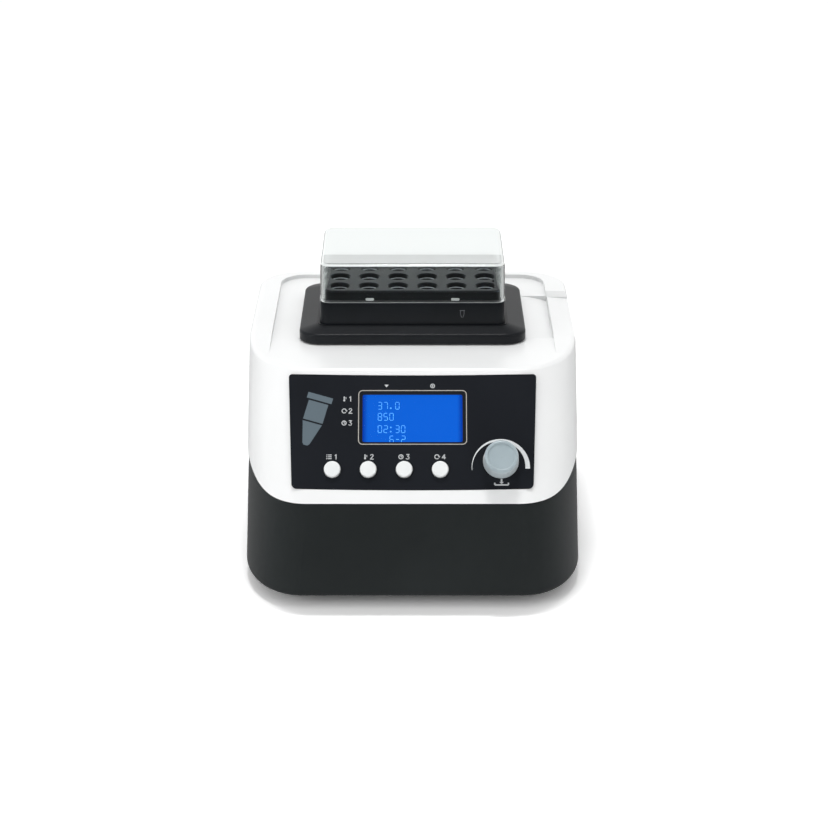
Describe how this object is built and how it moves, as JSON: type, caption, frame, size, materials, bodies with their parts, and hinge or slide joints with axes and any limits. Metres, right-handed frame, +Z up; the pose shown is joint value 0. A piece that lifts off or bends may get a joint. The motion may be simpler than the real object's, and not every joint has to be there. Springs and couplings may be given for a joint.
{
  "type": "microtube shaker",
  "caption": "Bench shaker for sample tubes: two-tone casing, leaning panel with display, keys and knob, heated tube block that orbits under a clear lift-off lid.",
  "frame": {"origin": "on the bench under the middle of the body", "axes": "+X to the user's right, +Y from the panel to the rear, +Z up"},
  "size_m": [0.2048, 0.2299, 0.1824],
  "materials": {
    "casing_white": "injection moulded ABS, fine satin gloss",
    "casing_black": "injection moulded ABS, fine matte grain",
    "foot_rubber": "moulded nitrile rubber",
    "overlay_film": "printed polyester film with a satin face",
    "clear_acrylic": "clear injection moulded polycarbonate",
    "display_light": "backlit liquid crystal glass",
    "display_frame": "moulded display frame",
    "circuit_board": "glass fibre board with solder mask",
    "button_white": "moulded ABS button",
    "knob_grey": "soft touch moulded knob",
    "steel_bright": "ground and turned steel",
    "steel_zinc": "zinc plated steel",
    "aluminium_plate": "milled aluminium plate",
    "block_anodised": "bead blasted black anodised aluminium",
    "skirt_black": "moulded heat resistant skirt",
    "motor_black": "black painted motor can",
    "heater_orange": "silicone heating mat",
    "insulation_pale": "glass filled insulation board",
    "inlet_black": "moulded appliance inlet",
    "rocker_black": "moulded rocker switch",
    "weight_brass": "turned brass balance weight"
  },
  "bodies": {
    "housing": {"lower_casing": "casing_black", "upper_casing": "casing_white", "casing_screws": "steel_zinc", "foot_screws": "steel_zinc", "chassis_screws": "steel_zinc", "chassis_pillars": "steel_zinc", "chassis_plate": "aluminium_plate", "drive_motor": "motor_black", "drive_screws": "steel_zinc", "bearing_housing": "aluminium_plate", "shaft_bearings": "steel_bright", "lower_guide_bearings": "steel_bright", "panel_overlay": "overlay_film", "display_window": "clear_acrylic", "display_module": "display_frame", "display_glass": "display_light", "control_board": "circuit_board", "button_switches": "display_frame", "encoder_body": "steel_zinc", "encoder_nut": "steel_zinc", "board_screws": "steel_zinc", "power_board": "circuit_board", "power_inlet": "inlet_black", "inlet_screws": "steel_zinc", "rocker_frame": "inlet_black", "rubber_foot_1": "foot_rubber", "rubber_foot_2": "foot_rubber", "rubber_foot_3": "foot_rubber", "rubber_foot_4": "foot_rubber", "guide_pillar_1": "aluminium_plate", "guide_pillar_2": "aluminium_plate", "guide_pillar_3": "aluminium_plate"},
    "drive_shaft": {"eccentric_shaft": "steel_bright", "counterweight": "weight_brass", "counterweight_screw": "steel_zinc"},
    "platform": {"shaking_table": "aluminium_plate", "crank_bearing": "steel_bright", "upper_guide_bearings": "steel_bright", "block_screws": "steel_zinc", "insulation_board": "insulation_pale", "heater_pad": "heater_orange", "heating_plate": "aluminium_plate", "temperature_sensor": "steel_bright", "platform_skirt": "skirt_black", "tube_block": "block_anodised", "lid_detents": "steel_bright"},
    "lid": {"lid": "clear_acrylic"},
    "encoder_plunger": {"encoder_plunger": "steel_zinc"},
    "knob": {"knob": "knob_grey", "encoder_shaft": "steel_zinc"},
    "power_rocker": {"power_rocker": "rocker_black"},
    "guide_crank_1": {"guide_crank_1": "steel_bright"},
    "guide_crank_2": {"guide_crank_2": "steel_bright"},
    "guide_crank_3": {"guide_crank_3": "steel_bright"},
    "button_1": {"button_1": "button_white"},
    "button_2": {"button_2": "button_white"},
    "button_3": {"button_3": "button_white"},
    "button_4": {"button_4": "button_white"}
  },
  "joints": [
    {"name": "drive_spin", "type": "hinge", "parent": "housing", "child": "drive_shaft", "pos_m": [0, 0.0238, 0.0875], "axis": [0, 0, 1], "continuous": true},
    {"name": "platform_orbit", "type": "hinge", "parent": "drive_shaft", "child": "platform", "pos_m": [0, 0.0253, 0.103], "axis": [0, 0, 1], "continuous": true},
    {"name": "lid_lift", "type": "slide", "parent": "platform", "child": "lid", "axis": [0, 0, 1], "range_m": [0, 0.06]},
    {"name": "encoder_push", "type": "slide", "parent": "housing", "child": "encoder_plunger", "axis": [0, 0.788, -0.6157], "range_m": [0, 0.0005], "stiffness_N_per_m": 6000, "springref_m": -0.0005},
    {"name": "knob_turn", "type": "hinge", "parent": "encoder_plunger", "child": "knob", "pos_m": [0.0518, -0.0993, 0.08909], "axis": [0, -0.788, 0.6157], "continuous": true},
    {"name": "rocker_tilt", "type": "hinge", "parent": "housing", "child": "power_rocker", "pos_m": [-0.066, 0.1042, 0.044], "axis": [-1, 0, 0], "range_deg": [0, 18]},
    {"name": "guide_spin_1", "type": "hinge", "parent": "housing", "child": "guide_crank_1", "pos_m": [-0.05, -0.0022, 0.094], "axis": [0, 0, 1], "continuous": true},
    {"name": "guide_spin_2", "type": "hinge", "parent": "housing", "child": "guide_crank_2", "pos_m": [0.05, -0.0022, 0.094], "axis": [0, 0, 1], "continuous": true},
    {"name": "guide_spin_3", "type": "hinge", "parent": "housing", "child": "guide_crank_3", "pos_m": [0, 0.0598, 0.094], "axis": [0, 0, 1], "continuous": true},
    {"name": "button_press_1", "type": "slide", "parent": "housing", "child": "button_1", "axis": [0, 0.788, -0.6157], "range_m": [0, 0.0012], "stiffness_N_per_m": 1500, "springref_m": -0.0004},
    {"name": "button_press_2", "type": "slide", "parent": "housing", "child": "button_2", "axis": [0, 0.788, -0.6157], "range_m": [0, 0.0012], "stiffness_N_per_m": 1500, "springref_m": -0.0004},
    {"name": "button_press_3", "type": "slide", "parent": "housing", "child": "button_3", "axis": [0, 0.788, -0.6157], "range_m": [0, 0.0012], "stiffness_N_per_m": 1500, "springref_m": -0.0004},
    {"name": "button_press_4", "type": "slide", "parent": "housing", "child": "button_4", "axis": [0, 0.788, -0.6157], "range_m": [0, 0.0012], "stiffness_N_per_m": 1500, "springref_m": -0.0004}
  ],
  "couplings": [
    {"joint": "platform_orbit", "follows": "drive_spin", "ratio": -1},
    {"joint": "guide_spin_1", "follows": "drive_spin", "ratio": 1},
    {"joint": "guide_spin_2", "follows": "drive_spin", "ratio": 1},
    {"joint": "guide_spin_3", "follows": "drive_spin", "ratio": 1}
  ]
}
